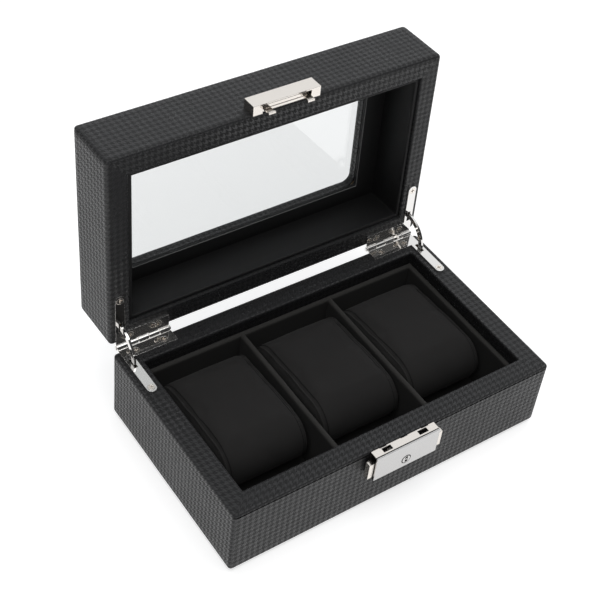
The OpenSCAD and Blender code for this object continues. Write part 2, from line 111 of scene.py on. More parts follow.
# ------------------------------------------------------------------ mesh helpers

def mesh_object(name, points, faces, material, uvs=None, sharp=40, place=None):
    """A smooth mesh from points in millimetres. uvs has one list of corners for each face."""
    mesh = bpy.data.meshes.new(name)
    place = place or Matrix.Identity(4)
    mesh.from_pydata([(place @ Vector(p)) * METRES for p in points], [], faces)
    if uvs:
        layer = mesh.uv_layers.new(name="Leather")
        layer.data.foreach_set("uv", np.array([c for face in uvs for c in face], np.float32).ravel())
    mesh.materials.append(material)
    piece = bpy.data.objects.new(name, mesh)
    bpy.context.scene.collection.objects.link(piece)
    tidy_normals(mesh)
    shade(mesh, sharp)
    return piece


def tidy_normals(mesh):
    """Turns all faces outwards."""
    work = bmesh.new()
    work.from_mesh(mesh)
    bmesh.ops.recalc_face_normals(work, faces=work.faces)
    work.to_mesh(mesh)
    work.free()


def shade(mesh, sharp):
    """Smooth shading, with edges above that angle kept sharp."""
    mesh.shade_smooth()
    mesh.set_sharp_from_angle(angle=math.radians(sharp))


def apply_modifiers(piece):
    """Turns the object's modifiers into its mesh."""
    graph = bpy.context.evaluated_depsgraph_get()
    done = bpy.data.meshes.new_from_object(piece.evaluated_get(graph), depsgraph=graph)
    done.name = piece.data.name
    piece.modifiers.clear()
    piece.data = done


def stand_for(piece, body, slot, *nodes):
    """Puts a piece on its body in place of CAD nodes."""
    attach(piece, body)
    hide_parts(*nodes)
    return piece


def smooth_noise(point, scale, seed=0.0):
    """Noise from -1 to 1 with features of about that many millimetres."""
    return noise.noise(Vector(point) / scale + Vector((seed, -seed, seed)))


# ------------------------------------------------------------------ sweeps round the box

CORNER_STEPS = 6
BY_CORNER = 0.7


def around(half_w, half_d, r, steps_w, steps_d):
    """Points round a rounded rectangle, anticlockwise from the front, with the outward direction
    of each, and the distance along the side at both ends of each step."""
    points, outward, spans = [], [], []
    for side in range(4):
        turn = side * math.pi / 2
        along = Vector((math.cos(turn), math.sin(turn)))
        out = Vector((math.sin(turn), -math.cos(turn)))
        half, reach = (half_w, half_d) if side % 2 == 0 else (half_d, half_w)
        count = steps_w if side % 2 == 0 else steps_d
        end = half - r
        near = end - BY_CORNER
        stops = [-end] + [near * (2 * i / count - 1) for i in range(count + 1)] + [end]
        points += [along * stop + out * reach for stop in stops]
        outward += [out] * len(stops)
        spans += list(zip(stops, stops[1:]))
        for j in range(CORNER_STEPS):
            a, b = (math.pi / 2 * k / CORNER_STEPS for k in (j, j + 1))
            if j:
                swing = out * math.cos(a) + along * math.sin(a)
                points.append(along * end + out * (reach - r) + r * swing)
                outward.append(swing)
            if j < CORNER_STEPS / 2:
                spans.append((end + r * a, end + r * b))
            else:
                start = r - reach
                spans.append((start - r * (math.pi / 2 - a), start - r * (math.pi / 2 - b)))
    return points, outward, spans


def sweep(name, levels, material, steps_w, steps_d, place=None, shape=None, flat=(), sharp=40):
    """A closed band round the box. Each level is (half width, half depth, corner radius, height),
    and the last joins the first. shape(point, outward, level) may move a point. The levels in flat
    take their pattern from above."""
    points, faces, uvs = [], [], []
    rings = []
    travel = [0.0]
    for a, b in zip(levels, levels[1:] + levels[:1]):
        travel.append(travel[-1] + math.hypot(a[1] - b[1], a[3] - b[3]))
    for n, (half_w, half_d, r, z) in enumerate(levels):
        ring, outward, spans = around(half_w, half_d, r, steps_w, steps_d)
        for p, out in zip(ring, outward):
            point = Vector((p.x, p.y, z))
            points.append(shape(point, Vector((out.x, out.y, 0)), n) if shape else point)
        rings.append(spans)
    count = len(rings[0])
    for n in range(len(levels)):
        m = (n + 1) % len(levels)
        for i in range(count):
            k = (i + 1) % count
            corners = (n * count + i, n * count + k, m * count + k, m * count + i)
            faces.append(corners)
            if n in flat:
                uvs.append([(points[c].x, points[c].y) for c in corners])
            else:
                (a0, a1), (b0, b1) = rings[n][i], rings[m][i]
                v0, v1 = travel[n], travel[n + 1]
                uvs.append([(a0, v0), (a1, v0), (b1, v1), (b0, v1)])
    return mesh_object(name, points, faces, material, uvs, sharp, place)


def arc(centre, r, start, end, steps=5):
    """Points of an arc in the (inset, height) plane, with angles in degrees."""
    return [(centre[0] + r * math.cos(math.radians(start + (end - start) * i / steps)),
             centre[1] + r * math.sin(math.radians(start + (end - start) * i / steps)))
            for i in range(steps + 1)]


def line(a, b, steps):
    """Points from a towards b, without b."""
    return [(a[0] + (b[0] - a[0]) * i / steps, a[1] + (b[1] - a[1]) * i / steps) for i in range(steps)]


def inset_level(inset, z):
    """The level that lies that far inside the box's outer face."""
    return (HALF_W - inset, HALF_D - inset, max(CORNER - inset, SHARPEST), z)


def box_points(low, high):
    """Corners and faces of a cuboid."""
    points = [(x, y, z) for x in (low[0], high[0]) for y in (low[1], high[1]) for z in (low[2], high[2])]
    faces = [(0, 1, 3, 2), (4, 6, 7, 5), (0, 4, 5, 1), (2, 3, 7, 6), (0, 2, 6, 4), (1, 5, 7, 3)]
    return points, faces


def cut_boxes(piece, boxes, place=None):
    """Cuts cuboids out of a closed mesh."""
    points, faces = [], []
    for low, high in boxes:
        corners, sides = box_points(low, high)
        faces += [tuple(len(points) + i for i in side) for side in sides]
        points += corners
    cutter = mesh_object("cutter", points, faces, piece.data.materials[0], place=place)
    cut = piece.modifiers.new("Cut", "BOOLEAN")
    cut.operation = "DIFFERENCE"
    cut.solver = "EXACT"
    cut.object = cutter
    apply_modifiers(piece)
    bpy.data.objects.remove(cutter)


# ------------------------------------------------------------------ material helpers

class Shader:
    """Builds one node material round a Principled shader."""

    def __init__(self, name, color, roughness, metallic=0.0, **values):
        self.material = bpy.data.materials.new(name)
        self.material.use_nodes = True
        self.tree = self.material.node_tree
        self.principled = self.tree.nodes["Principled BSDF"]
        self.set(self.principled, "Base Color", (*color, 1.0))
        self.set(self.principled, "Roughness", roughness)
        self.set(self.principled, "Metallic", metallic)
        for socket, value in values.items():
            self.set(self.principled, socket.replace("_", " "), value)

    def set(self, node, socket, value):
        """Sets a socket, or links it when the value is another node's output."""
        target = node.inputs[socket]
        if isinstance(value, bpy.types.NodeSocket):
            self.tree.links.new(value, target)
        else:
            target.default_value = value

    def node(self, kind, output=0, options=None, **inputs):
        """Adds a node and returns its output. Input names have _ for a space, or in0, in1 ..."""
        made = self.tree.nodes.new(kind)
        for option, value in (options or {}).items():
            setattr(made, option, value)
        for socket, value in inputs.items():
            by_number = socket[:2] == "in" and socket[2:].isdigit()
            key = int(socket[2:]) if by_number else socket.replace("_", " ")
            self.set(made, key, value)
        return made.outputs[output]

    def math(self, operation, a, b=0.0, clamp=False):
        options = {"operation": operation, "use_clamp": clamp}
        return self.node("ShaderNodeMath", options=options, in0=a, in1=b)

    def mix(self, factor, a, b):
        """Blends two numbers."""
        return self.node("ShaderNodeMix", options={"data_type": "FLOAT"}, in0=factor, in2=a, in3=b)

    def blend(self, factor, a, b):
        """Blends two colours."""
        mixed = self.tree.nodes.new("ShaderNodeMix")
        mixed.data_type = "RGBA"
        self.set(mixed, 0, factor)
        self.set(mixed, 6, a if isinstance(a, bpy.types.NodeSocket) else (*a, 1.0))
        self.set(mixed, 7, b if isinstance(b, bpy.types.NodeSocket) else (*b, 1.0))
        return mixed.outputs[2]

    def position(self):
        """The piece's own coordinates, in millimetres."""
        place = self.node("ShaderNodeTexCoord", output=3)
        return self.node("ShaderNodeVectorMath", options={"operation": "SCALE"}, in0=place, Scale=1 / METRES)

    def noise(self, size, detail=3.0, roughness=0.55, vector=None):
        """Noise from 0 to 1 with features of about that many millimetres."""
        return self.node("ShaderNodeTexNoise", Vector=vector or self.position(), Scale=1 / size,
                         Detail=detail, Roughness=roughness)

    def bump(self, height, depth, strength=1.0, normal=None):
        """A bump of that many millimetres."""
        made = self.tree.nodes.new("ShaderNodeBump")
        self.set(made, "Height", height)
        self.set(made, "Distance", depth * METRES)
        self.set(made, "Strength", strength)
        if normal:
            self.set(made, "Normal", normal)
        return made.outputs[0]

    def finish(self, **sockets):
        for socket, value in sockets.items():
            self.set(self.principled, socket.replace("_", " "), value)
        return self.material


def span(shader, value, low, high):
    """Turns 0 to 1 into low to high."""
    return shader.math("ADD", shader.math("MULTIPLY", value, high - low), low)


# ------------------------------------------------------------------ materials

CHECK = 3.32
RIBS = 8
RIB_SLOPE = 0.5
EDGE_FADE = 1.6
KEY_RING = 0.4
KEY_SLOT_HALF = 0.85
KEY_SLOT_REACH = 2.0
KEY_POST = 0.65


def soft_square(shader, value, sharpness=1.6):
    """A square wave with soft steps and a period of 1, from 0 to 1."""
    wave = shader.math("SINE", shader.math("MULTIPLY", value, 2 * math.pi))
    return shader.math("ADD", shader.math("MULTIPLY", wave, sharpness), 0.5, clamp=True)


def embossed_leather():
    """Black leatherette embossed with a houndstooth: patches of fine ribs that run across each
    other, so each patch catches the light from another side."""
    s = Shader("Embossed leather", (0.007, 0.007, 0.0075), 0.35, Specular_IOR_Level=0.37)
    uv = s.node("ShaderNodeUVMap", options={"uv_map": "Leather"})
    parts = s.tree.nodes.new("ShaderNodeSeparateXYZ")
    s.set(parts, 0, uv)
    u = s.math("DIVIDE", parts.outputs[0], CHECK)
    v = s.math("DIVIDE", parts.outputs[1], CHECK)
    twill = soft_square(s, s.math("MULTIPLY", s.math("ADD", u, v), 2.0))
    teeth = s.mix(twill, soft_square(s, u), soft_square(s, v))
    rib_u = s.math("SINE", s.math("MULTIPLY", u, 2 * math.pi * RIBS))
    rib_v = s.math("SINE", s.math("MULTIPLY", v, 2 * math.pi * RIBS))
    tilt_u = s.math("MULTIPLY", s.math("MULTIPLY", rib_u, teeth), RIB_SLOPE / 2)
    tilt_v = s.math("MULTIPLY", s.math("MULTIPLY", rib_v, s.math("SUBTRACT", 1.0, teeth)), RIB_SLOPE / 2)
    slope = s.node("ShaderNodeCombineXYZ", in0=s.math("ADD", tilt_u, 0.5), in1=s.math("ADD", tilt_v, 0.5),
                   in2=1.0)
    ribs = s.node("ShaderNodeNormalMap", options={"uv_map": "Leather"}, Color=slope)
    grain = s.noise(0.35, 4.0)
    cloud = s.noise(22.0, 2.0)
    height = s.math("ADD", s.math("MULTIPLY", teeth, 0.75), s.math("MULTIPLY", grain, 0.25))
    # The raised teeth are the leather's own emboss; the sunk ground is painted darker than them, as painted
    # shade.
    color = s.blend(teeth, (0.005, 0.005, 0.0055), (0.013, 0.013, 0.0142))
    unevenness = s.math("MULTIPLY", s.math("SUBTRACT", cloud, 0.5), 0.12)
    rough = s.math("ADD", span(s, teeth, 0.62, 0.27), unevenness)
    return s.finish(Base_Color=color, Roughness=rough, Normal=s.bump(height, 0.11, normal=ribs))


def painted_crease_shade():
    """Painted shade for the bottom of the fold in the leather: near black, with no gloss."""
    s = Shader("Crease shade", (0.002, 0.002, 0.002), 0.95, Specular_IOR_Level=0.0)
    return s.finish(Base_Color=s.blend(s.noise(2.0), (0.001, 0.001, 0.001), (0.003, 0.003, 0.003)))


def velvet(name, color, pile=0.28, rough=0.92, sheen=0.35, painted_shade_below=None):
    """Short velvet, with a nap brushed lighter and darker in patches. With a height given, it has
    painted shade below that height, which leaves the top edges lighter."""
    s = Shader(name, color, rough, Specular_IOR_Level=0.18, Sheen_Weight=sheen, Sheen_Roughness=0.45)
    s.set(s.principled, "Sheen Tint", (0.4, 0.4, 0.4, 1.0))
    nap = s.noise(14.0, 3.0, 0.6)
    fibre = s.noise(pile, 3.0, 0.7)
    dark = tuple(c * 0.72 for c in color)
    light = tuple(c * 1.22 for c in color)
    shade_of = s.math("ADD", s.math("MULTIPLY", nap, 0.65), s.math("MULTIPLY", fibre, 0.35))
    tone = s.blend(shade_of, dark, light)
    # Below the given height the velvet gets painted shade, fading out over EDGE_FADE above it.
    if painted_shade_below:
        parts = s.tree.nodes.new("ShaderNodeSeparateXYZ")
        s.set(parts, 0, s.position())
        over_edge = s.math("DIVIDE", s.math("SUBTRACT", parts.outputs[2], painted_shade_below), EDGE_FADE, clamp=True)
        shaded_tone = s.blend(shade_of, tuple(c * 0.45 for c in dark), tuple(c * 0.5 for c in light))
        tone = s.blend(over_edge, shaded_tone, tone)
    return s.finish(Base_Color=tone, Roughness=span(s, nap, rough - 0.06, rough + 0.04),
                    Normal=s.bump(fibre, 0.05, 0.7))


def lining_cloth():
    """Smooth black lining paper with a faint grain."""
    s = Shader("Lid lining", (0.006, 0.006, 0.0062), 0.6, Specular_IOR_Level=0.3)
    grain = s.noise(0.5, 4.0, 0.7)
    cloud = s.noise(30.0, 2.0)
    return s.finish(Base_Color=s.blend(cloud, (0.0045, 0.0045, 0.0048), (0.0075, 0.0075, 0.0078)),
                    Roughness=span(s, grain, 0.52, 0.68), Normal=s.bump(grain, 0.03, 0.6))


def felt():
    s = Shader("Felt", (0.018, 0.018, 0.02), 0.95, Specular_IOR_Level=0.1, Sheen_Weight=0.2)
    fibre = s.noise(0.6, 6.0, 0.75)
    return s.finish(Base_Color=s.blend(fibre, (0.01, 0.01, 0.011), (0.03, 0.03, 0.032)),
                    Normal=s.bump(fibre, 0.2))


def board():
    """Fibreboard, speckled with longer fibres."""
    s = Shader("Fibreboard", (0.42, 0.31, 0.2), 0.8, Specular_IOR_Level=0.2)
    speck = s.noise(0.9, 6.0, 0.8)
    return s.finish(Base_Color=s.blend(speck, (0.3, 0.21, 0.13), (0.52, 0.4, 0.27)),
                    Normal=s.bump(speck, 0.08))


def foam():
    """Open-cell foam."""
    s = Shader("Foam", (0.3, 0.3, 0.32), 0.95, Specular_IOR_Level=0.1)
    cells = s.node("ShaderNodeTexVoronoi", Vector=s.position(), Scale=1.4)
    return s.finish(Base_Color=s.blend(cells, (0.12, 0.12, 0.13), (0.36, 0.36, 0.38)),
                    Normal=s.bump(cells, 0.4))


def plated(name, color, rough, smear=0.05, inside=None, edge=0.3, keyhole=None):
    """Bright nickel plate with faint smears and hairline scratches, and softened edges. inside is
    (y, z) of the corner behind and below which the plate has painted shade, for the shade inside the
    lock. keyhole is the (height, radius) of a key cylinder, with painted shade round its edge and along
    its slot, because the real gaps are too narrow to show."""
    s = Shader(name, color, rough, metallic=1.0)
    cloud = s.noise(6.0, 3.0, 0.6)
    stretched = s.node("ShaderNodeVectorMath", options={"operation": "MULTIPLY"},
                       in0=s.position(), in1=(0.25, 3.0, 3.0))
    hair = s.noise(0.5, 3.0, 0.7, vector=stretched)
    tone = s.blend(cloud, tuple(c * 0.95 for c in color), color)
    uneven = s.math("ADD", s.math("MULTIPLY", cloud, smear), s.math("MULTIPLY", hair, smear * 0.6))
    uneven = s.math("ADD", uneven, rough - smear * 0.6)
    soft = s.node("ShaderNodeBevel", options={"samples": 6}, Radius=edge * METRES)
    # The mask below marks painted shade inside the lock.
    if inside:
        parts = s.tree.nodes.new("ShaderNodeSeparateXYZ")
        s.set(parts, 0, s.position())
        behind = s.math("GREATER_THAN", parts.outputs[1], inside[0])
        below = s.math("LESS_THAN", parts.outputs[2], inside[1])
        dark = s.math("MULTIPLY", behind, below)
        # The keyhole's ring and slot get painted shade too.
        if keyhole:
            up = s.math("SUBTRACT", parts.outputs[2], keyhole[0])
            away = s.math("SQRT", s.math("ADD", s.math("MULTIPLY", up, up),
                                         s.math("MULTIPLY", parts.outputs[0], parts.outputs[0])))
            ring = s.math("GREATER_THAN", away, keyhole[1] - KEY_RING)
            narrow = s.math("LESS_THAN", s.math("ABSOLUTE", parts.outputs[0]), KEY_SLOT_HALF)
            off_post = s.math("GREATER_THAN", away, KEY_POST)
            near = s.math("LESS_THAN", away, KEY_SLOT_REACH)
            slot = s.math("MULTIPLY", s.math("MULTIPLY", narrow, off_post), near)
            dark = s.math("MAXIMUM", dark, s.math("MAXIMUM", ring, slot))
        # The masked parts take a near-black colour: painted shade.
        tone = s.blend(dark, tone, (0.03, 0.027, 0.024))
        uneven = s.mix(dark, uneven, 0.6)
    return s.finish(Base_Color=tone, Roughness=uneven, Normal=s.bump(hair, 0.006, 0.5, normal=soft))


def steel(name, color, rough):
    """Plain steel with a drawn grain."""
    s = Shader(name, color, rough, metallic=1.0)
    stretched = s.node("ShaderNodeVectorMath", options={"operation": "MULTIPLY"},
                       in0=s.position(), in1=(0.3, 4.0, 4.0))
    grain = s.noise(0.4, 4.0, 0.7, vector=stretched)
    return s.finish(Roughness=span(s, grain, rough - 0.06, rough + 0.1), Normal=s.bump(grain, 0.01))


def window_glass():
    """Clear glass that lets light through to what is behind it."""
    s = Shader("Window glass", (0.77, 0.78, 0.78), 0.0, Transmission_Weight=1.0)
    s.set(s.principled, "IOR", 1.45)
    nodes = s.tree.nodes
    path = nodes.new("ShaderNodeLightPath")
    clear = nodes.new("ShaderNodeBsdfTransparent")
    clear.inputs[0].default_value = (0.94, 0.955, 0.95, 1.0)
    mixed = nodes.new("ShaderNodeMixShader")
    out = nodes["Material Output"]
    s.tree.links.new(path.outputs["Is Shadow Ray"], mixed.inputs[0])
    s.tree.links.new(s.principled.outputs[0], mixed.inputs[1])
    s.tree.links.new(clear.outputs[0], mixed.inputs[2])
    s.tree.links.new(mixed.outputs[0], out.inputs["Surface"])
    return s.finish(Roughness=span(s, s.noise(40.0, 2.0), 0.0, 0.03))


def paper():
    """White paper, lit from behind as well, so shadows on it stay faint."""
    s = Shader("Studio paper", (0.6, 0.6, 0.6), 0.9, Specular_IOR_Level=0.1, Emission_Strength=0.64)
    s.set(s.principled, "Emission Color", (1.0, 1.0, 1.0, 1.0))
    return s.finish(Base_Color=s.blend(s.noise(60.0, 3.0), (0.59, 0.59, 0.59), (0.61, 0.61, 0.61)))


leather = embossed_leather()
# The tray's walls have painted shade below their top edge.
tray_velvet = velvet("Tray velvet", (0.03, 0.029, 0.0275), sheen=0.12, painted_shade_below=tray_high.z - 2.2)
cushion_velvet = velvet("Cushion velvet", (0.0188, 0.018, 0.0177), pile=0.22, sheen=0.06)
piping_velvet = velvet("Cushion piping", (0.019, 0.0185, 0.018), pile=0.2, sheen=0.05)
thread = velvet("Sewing thread", (0.006, 0.006, 0.006), pile=0.2, sheen=0.0)
lining = lining_cloth()
lock_high = node_box("lock_case")[1]
lock_front_y = node_box("lock_front")[0].y
WARM = (0.79, 0.745, 0.695)
warm_nickel = plated("Warm nickel", WARM, 0.16)
# The lock case has painted shade inside the lock.
lock_nickel = plated("Lock nickel", WARM, 0.16, inside=(lock_front_y + 0.2, lock_high.z - 0.1))
bright_nickel = plated("Bright nickel", (0.8, 0.785, 0.765), 0.05, smear=0.03, edge=0.15)
# The front plate is the warm nickel darkened, as painted shade for the dimmer reflection it shows, with
# painted shade inside the lock as well.
shaded_front_nickel = plated("Front plate nickel", (0.56, 0.553, 0.548), 0.2,
                      inside=(lock_front_y + 0.7, lock_high.z - 0.1))
screw_nickel = plated("Screw nickel", (0.86, 0.81, 0.75), 0.1, edge=0.15)
key_low, key_high = node_box("key_cylinder")
# The key cylinder has painted shade inside the lock.
cylinder_nickel = plated("Cylinder nickel", (0.6, 0.59, 0.58), 0.22,
                         inside=(lock_front_y + 0.3, lock_high.z),
                         keyhole=((key_low.z + key_high.z) / 2, (key_high.z - key_low.z) / 2))
lock_steel = steel("Lock steel", (0.55, 0.54, 0.53), 0.35)
spring_steel = steel("Spring steel", (0.58, 0.58, 0.6), 0.25)


# ------------------------------------------------------------------ leather covers

LIP_Z = base_low.z + 25
RIM_EDGE = 1.2
CREASE_Z = RIM - 1.5
CREASE_HEIGHT = 0.9
CREASE_DEPTH = 0.7
FOLD_DEPTH = 0.45
TURN_IN = 8
WINDOW = (73.5, 37.2, 5.0)
WINDOW_EDGE = 0.9
POCKET = (92.1, 96.1, 45.0, 56.6)


def uneven(point, outward, amount=0.06):
    """Leather over board is never quite flat."""
    broad, fine = smooth_noise(point, 17.0), smooth_noise(point, 5.0, 3.0)
    return point + outward * (amount * broad + amount * 0.5 * fine)


def base_cover_section():
    """(inset, height) of the base's leather: up inside the rim, over it, down the outside, round
    the bottom edge, under the base, and back along its own thickness."""
    outside = line((WALL, LIP_Z), (WALL, RIM - 8), 1)
    outside += line((WALL, RIM - 8), (WALL, RIM - RIM_EDGE), 4)
    outside += arc((WALL - RIM_EDGE, RIM - RIM_EDGE), RIM_EDGE, 0, 90)
    outside += line((WALL - RIM_EDGE - 1, RIM), (RIM_EDGE, RIM), 6)
    outside += arc((RIM_EDGE, RIM - RIM_EDGE), RIM_EDGE, 90, 180)
    crease = len(outside)
    outside += [(0, CREASE_Z), (0, CREASE_Z - CREASE_HEIGHT / 2), (0, CREASE_Z - CREASE_HEIGHT)]
    outside += line((0, CREASE_Z - 1.5), (0, SOFT_EDGE), 10)
    outside += arc((SOFT_EDGE, SOFT_EDGE), SOFT_EDGE, 180, 270, 7)
    outside += [(TURN_IN, 0), (TURN_IN, LEATHER)]
    back = arc((SOFT_EDGE, SOFT_EDGE), SOFT_EDGE - LEATHER, 270, 180, 3)
    back += [(LEATHER, RIM - LEATHER), (WALL - LEATHER, RIM - LEATHER), (WALL - LEATHER, LIP_Z)]
    return outside, back, crease


def make_base_leather():
    outside, back, crease = base_cover_section()
    levels = [inset_level(*p) for p in outside + back]

    def shape(point, outward, n):
        if n == crease + 1:
            point = point - outward * (CREASE_DEPTH * abs(outward.y))
        return uneven(point, outward) if 0 < n < len(outside) - 2 else point

    piece = sweep("base_leather", levels, leather, 90, 54, shape=shape)
    x0, x1, y0, y1 = POCKET
    cut_boxes(piece, [((x0, y0, LIP_Z), (x1, y1, RIM + 5)), ((-x1, y0, LIP_Z), (-x0, y1, RIM + 5))])
    # The faces down in the crease get the painted shade.
    piece.data.materials.append(painted_crease_shade())
    for face in piece.data.polygons:
        centre = face.center / METRES
        if abs(centre.y) > HALF_D - CREASE_DEPTH and CREASE_Z - CREASE_HEIGHT < centre.z < CREASE_Z:
            face.material_index = 1
    shade(piece.data, 40)
    return stand_for(piece, "base", "embossed_leather", "base_cover")


def make_lid_leather():
    rim, top = lid_low.z, lid_high.z
    lip = rim + 3.4
    window, window_edge = WINDOW, WINDOW_EDGE
    outside = [(WALL, lip), (WALL, rim + 1.6)]
    outside += arc((WALL - RIM_EDGE, rim + RIM_EDGE), RIM_EDGE, 0, -90)
    outside += line((WALL - RIM_EDGE - 1, rim), (2.0, rim), 6)
    outside += arc((2.0, rim + 2.0), 2.0, 270, 180)
    outside += line((0, rim + 3.5), (0, top - SOFT_EDGE), 9)
    outside += arc((SOFT_EDGE, top - SOFT_EDGE), SOFT_EDGE, 180, 90, 7)
    levels = [inset_level(*p) for p in outside]
    first_flat = len(levels) - 1
    last = levels[-1]
    wide = (window[0] + window_edge, window[1] + window_edge, window[2] + window_edge)
    for i in range(1, 6):
        levels.append(tuple(last[k] + (wide[k] - last[k]) * i / 5 for k in range(3)) + (top,))
    last_flat = len(levels) - 2
    for inward, down in arc((window_edge, -window_edge), window_edge, 90, 180)[1:]:
        levels.append((window[0] + inward, window[1] + inward, window[2] + inward, top + down))
    visible = len(levels)
    seat = glass_high.z
    levels.append((*window, seat + 1.5))
    levels.append((*window, seat))
    levels.append((window[0] + LEATHER, window[1] + LEATHER, window[2] + LEATHER, seat))
    levels.append((window[0] + LEATHER, window[1] + LEATHER, window[2] + LEATHER, top - LEATHER))
    back = arc((SOFT_EDGE, top - SOFT_EDGE), SOFT_EDGE - LEATHER, 90, 180, 3)
    back += [(LEATHER, rim + LEATHER), (WALL - LEATHER, rim + LEATHER), (WALL - LEATHER, lip)]
    levels += [inset_level(*p) for p in back]

    def shape(point, outward, n):
        if not 0 < n < visible - 1:
            return point
        at_fold = abs(outward.x) > 0.99 and abs(point.y + HALF_D - CORNER) < 0.01
        if at_fold and rim + 2 < point.z < top - 1:
            point = point - outward * FOLD_DEPTH
        return uneven(point, outward)

    piece = sweep("lid_leather", levels, leather, 90, 54, place=lid_open, shape=shape,
                  flat=range(first_flat, last_flat + 1))
    x0, x1, y0, y1 = POCKET
    z0, z1 = 2 * hinge_z - RIM - 5, 2 * hinge_z - LIP_Z
    cut_boxes(piece, [((x0, y0, z0), (x1, y1, z1)), ((-x1, y0, z0), (-x0, y1, z1))], place=lid_open)
    shade(piece.data, 40)
    return stand_for(piece, "lid", "embossed_leather", "lid_cover")


make_base_leather()
make_lid_leather()


# ------------------------------------------------------------------ tray and dividers

TRAY_WALL = 3.0
TRAY_FLOOR = 1.0
TRAY_EDGE = 1.25


def make_tray():
    """Velvet over card: walls with a rounded top edge, and the floor."""
    top, low = tray_high.z, tray_low.z
    inner = WALL + TRAY_WALL
    section = [(WALL, low + TRAY_FLOOR)] + line((WALL, low + 4), (WALL, top - TRAY_EDGE), 4)
    section += arc((WALL + TRAY_EDGE, top - TRAY_EDGE), TRAY_EDGE, 180, 90)
    section += arc((inner - TRAY_EDGE, top - TRAY_EDGE), TRAY_EDGE, 90, 0)
    section += line((inner, top - TRAY_EDGE - 1), (inner, low + TRAY_FLOOR), 6)
    section += [(inner, low + TRAY_FLOOR)]

    def shape(point, outward, n):
        if n < 5:
            return point
        return point + Vector((0, 0, 0.12 * smooth_noise(point, 9.0)))

    walls = sweep("tray", [inset_level(*p) for p in section], tray_velvet, 60, 36, shape=shape)
    half_w, half_d = HALF_W - WALL, HALF_D - WALL
    floor_points, floor_faces = box_points((-half_w, -half_d, low), (half_w, half_d, low + TRAY_FLOOR))
    floor = mesh_object("tray_floor", floor_points, floor_faces, tray_velvet)
    walls = join(walls, floor)
    return stand_for(walls, "base", "tray_velvet", "tray_lining")


def join(piece, *others):
    """One object from several, under the first one's name."""
    work = bmesh.new()
    for part in (piece, *others):
        work.from_mesh(part.data)
    work.to_mesh(piece.data)
    work.free()
    for part in others:
        bpy.data.objects.remove(part)
    return piece


def make_divider(side):
    """A velvet-covered card between two compartments, with a full round top."""
    name = f"divider_{side}"
    low, high = node_box(name)
    r = (high.x - low.x) / 2
    middle = (high.x + low.x) / 2
    outline = [(low.x, low.z)] + [(low.x, low.z + (high.z - r - low.z) * i / 4) for i in range(1, 4)]
    outline += [(middle - r * math.cos(math.pi * i / 12), high.z - r + r * math.sin(math.pi * i / 12))
                for i in range(13)]
    outline += [(high.x, low.z + (high.z - r - low.z) * i / 4) for i in range(3, 0, -1)] + [(high.x, low.z)]
    steps = 36
    start, end = low.y - TRAY_EDGE, high.y + TRAY_EDGE
    points, faces = [], []
    for i in range(steps + 1):
        y = start + (end - start) * i / steps
        sway = 0.25 * math.sin(math.pi * i / steps) * smooth_noise((middle, y, 0), 30.0)
        points += [(x + sway, y, z + 0.1 * smooth_noise((x, y, z), 8.0)) for x, z in outline]
    count = len(outline)
    for i in range(steps):
        for k in range(count):
            m = (k + 1) % count
            faces.append((i * count + k, i * count + m, (i + 1) * count + m, (i + 1) * count + k))
    faces += [tuple(range(count)), tuple(range(steps * count, (steps + 1) * count))]
    piece = mesh_object(f"velvet_{name}", points, faces, tray_velvet, sharp=60)
    return stand_for(piece, "base", "tray_velvet", name)


make_tray()
for side in ("left", "right"):
    make_divider(side)


# ------------------------------------------------------------------ cushions

BACK_HEIGHT = 31.6
CROWN = 0.8
SIM_SCALE = 10
VOXEL = 1.5
SIM_START = 0.9
SIM_CAP = 1.2
SEAM_IN = 0.4
THREAD_IN = 3.0
CORE_INSET = 4


def cushion_outline(low, high, inset, steps):
    """(y, z) of a cushion's side: a large round front, a smaller round back and a crowned top."""
    front_r = (high.z - low.z) / 2
    back_r = BACK_HEIGHT / 2
    front = (low.y + front_r, low.z + front_r)
    back = (high.y - back_r, low.z + back_r)
    points = arc(back, back_r - inset, -90, 90, steps)
    top_back, top_front = points[-1], (front[0], front[1] + front_r - inset)
    for i in range(1, steps):
        u = i / steps
        points.append((top_back[0] + u * (top_front[0] - top_back[0]),
                       top_back[1] + u * (top_front[1] - top_back[1]) + CROWN * math.sin(math.pi * u)))
    points += arc(front, front_r - inset, 90, 270, steps)
    for i in range(1, steps):
        u = i / steps
        points.append((front[0] + u * (back[0] - front[0]), low.z + inset))
    return points


def prism(name, outline, x0, x1, material):
    """A closed prism of a (y, z) outline from x0 to x1."""
    count = len(outline)
    points = [(x, y, z) for x in (x0, x1) for y, z in outline]
    faces = [(i, (i + 1) % count, count + (i + 1) % count, count + i) for i in range(count)]
    faces += [tuple(range(count)), tuple(range(count, 2 * count))]
    return mesh_object(name, points, faces, material)


def inflate(piece, cap):
    """Blows the closed mesh up as cloth and keeps each point within cap of where it was."""
    start = np.array([v.co for v in piece.data.vertices])
    piece.data.vertices.foreach_set("co", (start * SIM_SCALE).ravel())
    piece.data.update()
    cloth = piece.modifiers.new("Cloth", "CLOTH")
    cloth.settings.quality = 6
    cloth.settings.mass = 0.3
    cloth.settings.tension_stiffness = 12
    cloth.settings.compression_stiffness = 12
    cloth.settings.shear_stiffness = 6
    cloth.settings.bending_stiffness = 1.5
    cloth.settings.use_pressure = True
    cloth.settings.uniform_pressure_force = 3
    cloth.settings.effector_weights.gravity = 0
    cloth.collision_settings.use_collision = False
    scene = bpy.context.scene
    for step in range(1, 19):
        scene.frame_set(step)
    apply_modifiers(piece)
    scene.frame_set(1)
    end = np.array([v.co for v in piece.data.vertices]) / SIM_SCALE
    move = end - start
    length = np.linalg.norm(move, axis=1, keepdims=True)
    move *= np.minimum(1.0, cap * METRES / np.maximum(length, 1e-9))
    piece.data.vertices.foreach_set("co", (start + move).ravel())
    piece.data.update()
    even = piece.modifiers.new("Even", "SMOOTH")
    even.factor = 0.5
    even.iterations = 8
    apply_modifiers(piece)


